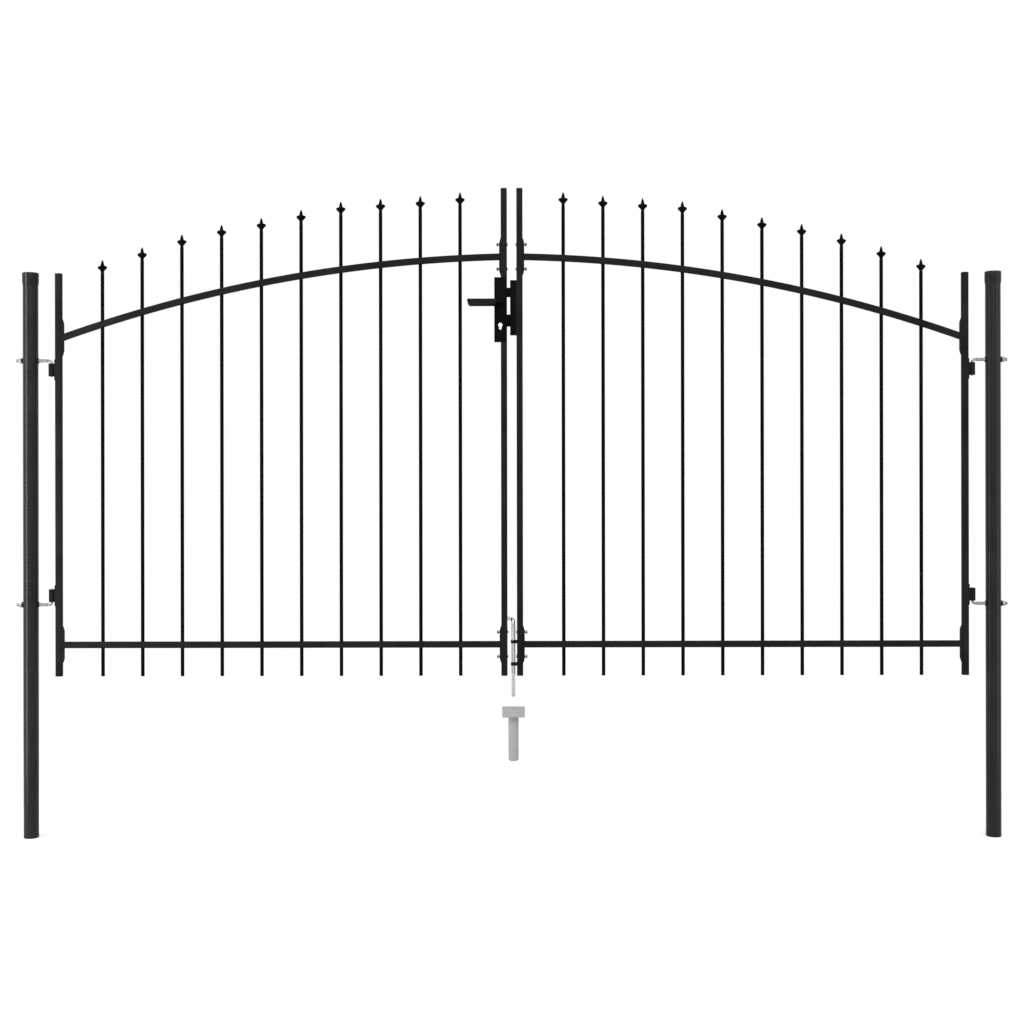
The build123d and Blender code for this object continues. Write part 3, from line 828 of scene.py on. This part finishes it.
# a bar grip that bows back to the rose at its heel
def gripMesh(name, way):
    heel, toe = lever["axis"] + lever["heel"], lever["axis"] - lever["toe"]
    top, low = lever["level"] + lever["half"], lever["level"] - lever["half"]
    near, thick, edge = lever["near"], lever["far"] - lever["near"], lever["edge"]
    bow, bowStart, bowSteps = lever["bow"], heel - lever["bow"], lever["bowSteps"]
    spots = [toe + edge * (1 - math.cos(quarterTurn * step / 5)) for step in range(6)]  # rounded toe
    spots += [toe + lever["cut"] * share for share in (0.6, 0.8, 1.0, 1.3)]
    for step in range(bowSteps + 1):  # bowed heel
        spots.append(bowStart + (bow - lever["heelGap"]) * math.sin(quarterTurn * step / bowSteps))
    rings = []
    for x in spots:
        inset = edge - math.sqrt(max(0, edge**2 - max(0, toe + edge - x) ** 2))
        left = math.sqrt(1 - max(0, (x - bowStart) / bow) ** 2)  # share of the thickness
        under = low + max(0, lever["cut"] - (x - toe))
        outer = near + thick * left - inset
        section = gripSection(x, near + inset, outer, under + inset, top - inset, edge)
        rings.append([inMetres(a, way * b, c) for a, b, c in section])
    ends = [[sum(ring, Vector()) / len(ring)] for ring in (rings[0], rings[-1])]
    return ringMesh(name, [ends[0]] + rings + [ends[1]])


# the grip's round neck
def neckMesh(name, way):
    neck, root, end = lever["neck"], lever["root"], lever["near"] + lever["seat"]
    slim, long = neck - lever["neckEdge"], lever["neckEdgeLong"]
    rings = [[inMetres(lever["axis"], way * root, lever["level"])]]
    for radius, y in ((slim, root), (neck, root + long), (neck, end - long), (slim, end)):
        outline = circle(radius, lever["neckSides"])
        rings.append([inMetres(lever["axis"] + a, way * y, lever["level"] + b) for a, b in outline])
    rings.append([inMetres(lever["axis"], way * end, lever["level"])])
    return ringMesh(name, rings)


# where the painted shade on the lever's heel begins
shadedHeelStart = (lever["axis"] - lever["hub"]) * mm
for word, way in (("front", -1), ("rear", 1)):
    name = f"{word}Lever"
    mesh = joinMeshes(name, [gripMesh(name, way), neckMesh(name, way)])
    splitFinish(mesh, blackMoulding, lockCoat, lambda face: face.center.x > shadedHeelStart)  # painted shade: darker finish on the heel and neck, standing in for the bend turning away from the light
    addPiece(name, mesh, "lever", blackMoulding, [f"{word}_lever"])

stileFace = leaf["faces"]["right"] * mm
keepMesh = softened(nodeCopy("strike_keep"), lock["keepEdge"])
# cut at the stile's face, where the painted shade of the gap ends
work = bmesh.new()
work.from_mesh(keepMesh)
cut = {"plane_co": (stileFace, 0, 0), "plane_no": (1, 0, 0), "dist": 1e-6}
bmesh.ops.bisect_plane(work, geom=work.verts[:] + work.edges[:] + work.faces[:], **cut)
work.to_mesh(keepMesh)
work.free()
splitFinish(keepMesh, tubeCoat, lockCoat, lambda face: face.center.x < stileFace)  # painted shade: darker finish on the part in the gap between the leaves
addPiece("strikeKeep", keepMesh, "right_leaf", tubeCoat, ["strike_keep"])
print("lock and keep made")

# drop bolt and its guides
drop = {"x": 1480.5, "tip": 430, "arm": 666, "reach": 46, "turn": 28, "bend": 10, "radius": 6}
drop |= {"end": 1.4, "sides": 40, "guideEdge": 0.4}
turnAngle = math.radians(drop["turn"])
armX, armY = drop["x"] - drop["reach"] * math.sin(turnAngle), drop["reach"] * math.cos(turnAngle)
dropTip, dropCorner = Vector((drop["x"], 0, drop["tip"])), Vector((drop["x"], 0, drop["arm"]))
path = bendPath(dropTip, dropCorner, Vector((armX, armY, drop["arm"])), drop["bend"])
path, radii = chamferEnds(path, drop["radius"], drop["end"])
mesh = roundRod("dropBolt", path, radii, drop["sides"])
addPiece("dropBolt", mesh, "drop_bolt", brightZinc, ["drop_bolt"], sharp=50)
guides, guideEdge = "drop_bolt_guides", drop["guideEdge"]
addSoftNode(guides, guideEdge, "right_leaf", tubeCoat, name="dropGuides")
spindleSlot = nodes["lever_spindle"].material_slots[0]
spindleSlot.link = "OBJECT"
spindleSlot.material = zincPlate
print("drop bolt made")

# stage, light and camera, in metres
studio = {"ambient": 0.5, "floorTone": 0.82, "floorRough": 0.9, "floorLevel": -0.0005}
studio["floorEdges"] = (-30, 33, -30, 30)  # left, right, front, back
studio["lit"] = (1.5, -2.5, 0)  # where the key lamp lights the floor most
studio["glow"] = [(0.0, 0.25), (0.16, 0.3), (0.22, 0.42), (0.28, 0.46), (0.46, 0.54), (1.0, 0.61)]
studio["glowReach"] = 15  # the floor's glow rises away from the lit spot, up to this distance


# 1 for rays that see the background, so that it is white to them alone
def seenRay(tree):
    ray = addNode(tree, "ShaderNodeLightPath").outputs
    most = mathOf(tree, "MAXIMUM", ray["Is Camera Ray"], ray["Is Glossy Ray"])
    return mathOf(tree, "MAXIMUM", most, ray["Is Transmission Ray"])


world = bpy.data.worlds.new("studioWorld")
world.use_nodes = True
scene.world = world
tree = world.node_tree
strength = rangeOf(tree, seenRay(tree), studio["ambient"], 1.0)
setInputs(tree, tree.nodes["Background"], {"Color": (1, 1, 1, 1), "Strength": strength})

paleFloor, tree, shader, place = newFinish("paleFloor")
away = addNode(tree, "ShaderNodeVectorMath", {0: place, 1: studio["lit"]}, operation="DISTANCE")
share = mathOf(tree, "DIVIDE", away.outputs["Value"], studio["glowReach"])
glow = rampOf(tree, share, [(spot, (level,) * 3) for spot, level in studio["glow"]])
setInputs(tree, shader, {
    "Base Color": (studio["floorTone"],) * 3 + (1,),
    "Roughness": studio["floorRough"],
    "Specular IOR Level": 0.0,
    "Emission Color": (1, 1, 1, 1),
    "Emission Strength": mathOf(tree, "MULTIPLY", glow, seenRay(tree)),
})
left, right, front, back = studio["floorEdges"]
corners = [(left, front), (right, front), (right, back), (left, back)]
floorMesh = meshFrom("floor", [(x, y, studio["floorLevel"]) for x, y in corners], [[0, 1, 2, 3]])
floorMesh.materials.append(paleFloor)
floor = bpy.data.objects.new("floor", floorMesh)
scene.collection.objects.link(floor)

lamps = {  # spot, target, watts, width, height
    "keyLamp": ((1.9, -4.2, 4.4), (1.477, 0, 1.0), 190, 3.6, 3.0),
    "leftStrip": ((-0.74, -0.65, 1.0), (0, 0, 1.0), 36, 0.2, 3.4),
    "rightStrip": ((3.69, -0.65, 1.0), (2.954, 0, 1.0), 8, 0.2, 3.4),
}
for name, (spot, target, watts, width, height) in lamps.items():
    lamp = bpy.data.lights.new(name, "AREA")
    lamp.shape = "RECTANGLE"
    lamp.size, lamp.size_y = width, height
    lamp.energy = watts
    holder = bpy.data.objects.new(name, lamp)
    scene.collection.objects.link(holder)
    holder.location = spot
    holder.rotation_euler = (Vector(target) - Vector(spot)).to_track_quat("-Z", "Y").to_euler()
    holder.visible_camera = False

view = {"lens": 50, "sensor": 36, "spot": (1.477, -4.366, 1.0757), "roll": 0.0016, "shift": -0.0254}
camera = bpy.data.cameras.new("gateView")
camera.lens = view["lens"]
camera.sensor_width = view["sensor"]
camera.shift_y = view["shift"]
eye = bpy.data.objects.new("gateView", camera)
scene.collection.objects.link(eye)
eye.location = view["spot"]
eye.rotation_euler = (quarterTurn, view["roll"], 0)
scene.camera = eye
scene.view_settings.view_transform = "Standard"
print("stage set")
